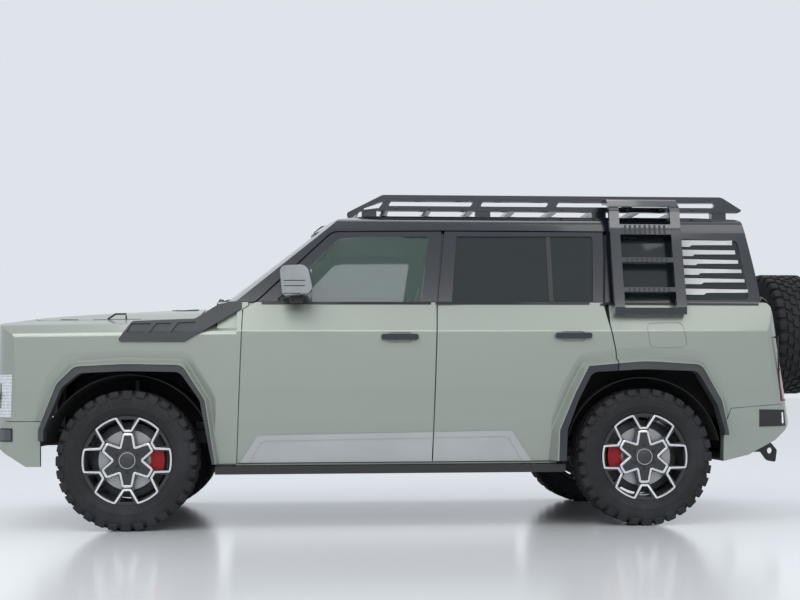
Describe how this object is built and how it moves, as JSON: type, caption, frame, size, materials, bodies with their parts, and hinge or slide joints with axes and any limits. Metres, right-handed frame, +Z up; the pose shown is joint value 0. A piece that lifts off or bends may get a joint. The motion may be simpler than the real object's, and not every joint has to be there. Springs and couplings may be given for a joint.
{
  "type": "off-road 4x4 vehicle",
  "caption": "Lifted four-door off-road 4x4 with boxy body, mud tyres, roof rack, side ladder, opening doors, hood and side-hinged tailgate that carries the spare wheel.",
  "frame": {"origin": "centre of the bounding box at ground level", "axes": "+X forward along the vehicle, +Y to its left, +Z up"},
  "size_m": [5.15, 2.2, 1.986],
  "materials": {
    "body_paint": "satin",
    "dark_paint": "gloss",
    "chassis_paint": "satin",
    "dark_plastic": "matte",
    "silver_plastic": "satin",
    "lamp_clear": "gloss",
    "lamp_red": "gloss",
    "glass_clear": "gloss",
    "glass_dark": "gloss",
    "tyre_rubber": "matte",
    "wheel_paint": "satin",
    "running_steel": "matte",
    "seat_leather": "satin",
    "cabin_plastic": "matte"
  },
  "bodies": {
    "body": {"arch_liners": "dark_plastic", "arch_trims": "dark_plastic", "body_side_left": "body_paint", "body_side_right": "body_paint", "chassis_frame": "chassis_paint", "cowl_panel": "dark_paint", "dashboard": "cabin_plastic", "engine_block": "running_steel", "floor_pan": "cabin_plastic", "frame_members": "chassis_paint", "front_bumper": "body_paint", "front_seats": "seat_leather", "front_suspension": "running_steel", "front_wings": "body_paint", "headlamps": "lamp_clear", "nose_panel": "body_paint", "quarter_glass": "glass_dark", "rear_axle": "running_steel", "rear_bench": "seat_leather", "rear_bumper": "body_paint", "roof_panel": "dark_paint", "roof_rack": "dark_paint", "side_ladder": "dark_paint", "sill_steps": "chassis_paint", "tail_lamps": "lamp_red", "vent_trims": "dark_plastic", "windscreen": "glass_clear"},
    "hood": {"hood": "body_paint"},
    "tailgate": {"tailgate": "body_paint", "tailgate_glass": "glass_dark", "spare_carrier": "dark_paint", "spare_rim": "wheel_paint", "spare_tyre": "tyre_rubber"},
    "steering_wheel": {"steering_wheel": "cabin_plastic"},
    "door_front_left": {"door_front_left": "body_paint", "door_glass_front_left": "glass_clear", "mirror_left": "silver_plastic"},
    "door_rear_left": {"door_rear_left": "body_paint", "door_glass_rear_left": "glass_dark"},
    "knuckle_left": {"knuckle_left": "running_steel"},
    "wheel_front_left": {"rim_front_left": "wheel_paint", "tyre_front_left": "tyre_rubber"},
    "wheel_rear_left": {"rim_rear_left": "wheel_paint", "tyre_rear_left": "tyre_rubber"},
    "door_front_right": {"door_front_right": "body_paint", "door_glass_front_right": "glass_clear", "mirror_right": "silver_plastic"},
    "door_rear_right": {"door_rear_right": "body_paint", "door_glass_rear_right": "glass_dark"},
    "knuckle_right": {"knuckle_right": "running_steel"},
    "wheel_front_right": {"rim_front_right": "wheel_paint", "tyre_front_right": "tyre_rubber"},
    "wheel_rear_right": {"rim_rear_right": "wheel_paint", "tyre_rear_right": "tyre_rubber"}
  },
  "joints": [
    {"name": "door_front_left_hinge", "type": "hinge", "parent": "body", "child": "door_front_left", "pos_m": [1.1195, 0.947, 0.85], "axis": [0, 0, -1], "range_deg": [0, 65]},
    {"name": "door_rear_left_hinge", "type": "hinge", "parent": "body", "child": "door_rear_left", "pos_m": [-0.012, 0.947, 0.85], "axis": [0, 0, -1], "range_deg": [0, 65]},
    {"name": "door_front_right_hinge", "type": "hinge", "parent": "body", "child": "door_front_right", "pos_m": [1.1195, -0.947, 0.85], "axis": [0, 0, 1], "range_deg": [0, 65]},
    {"name": "door_rear_right_hinge", "type": "hinge", "parent": "body", "child": "door_rear_right", "pos_m": [-0.012, -0.947, 0.85], "axis": [0, 0, 1], "range_deg": [0, 65]},
    {"name": "hood_hinge", "type": "hinge", "parent": "body", "child": "hood", "pos_m": [1.357, 0, 1.312], "axis": [0, -1, 0], "range_deg": [0, 50]},
    {"name": "tailgate_hinge", "type": "hinge", "parent": "body", "child": "tailgate", "pos_m": [-2.176, -0.726, 1.1], "axis": [0, 0, 1], "range_deg": [0, 90]},
    {"name": "steer_left", "type": "hinge", "parent": "body", "child": "knuckle_left", "pos_m": [1.743, 0.745, 0.4], "axis": [0, 0, 1], "range_deg": [-30, 30]},
    {"name": "steer_right", "type": "hinge", "parent": "body", "child": "knuckle_right", "pos_m": [1.743, -0.745, 0.4], "axis": [0, 0, 1], "range_deg": [-30, 30]},
    {"name": "steering_wheel_turn", "type": "hinge", "parent": "body", "child": "steering_wheel", "pos_m": [0.72, 0.39, 1.12], "axis": [-0.9135, 0, 0.4067], "range_deg": [-420, 420]},
    {"name": "wheel_front_left_spin", "type": "hinge", "parent": "knuckle_left", "child": "wheel_front_left", "pos_m": [1.743, 0.8175, 0.4], "axis": [0, 1, 0], "continuous": true},
    {"name": "wheel_rear_left_spin", "type": "hinge", "parent": "body", "child": "wheel_rear_left", "pos_m": [-1.262, 0.8175, 0.4], "axis": [0, 1, 0], "continuous": true},
    {"name": "wheel_front_right_spin", "type": "hinge", "parent": "knuckle_right", "child": "wheel_front_right", "pos_m": [1.743, -0.8175, 0.4], "axis": [0, 1, 0], "continuous": true},
    {"name": "wheel_rear_right_spin", "type": "hinge", "parent": "body", "child": "wheel_rear_right", "pos_m": [-1.262, -0.8175, 0.4], "axis": [0, 1, 0], "continuous": true}
  ],
  "couplings": [
    {"joint": "steer_right", "follows": "steer_left", "ratio": 1},
    {"joint": "steering_wheel_turn", "follows": "steer_left", "ratio": 14}
  ]
}
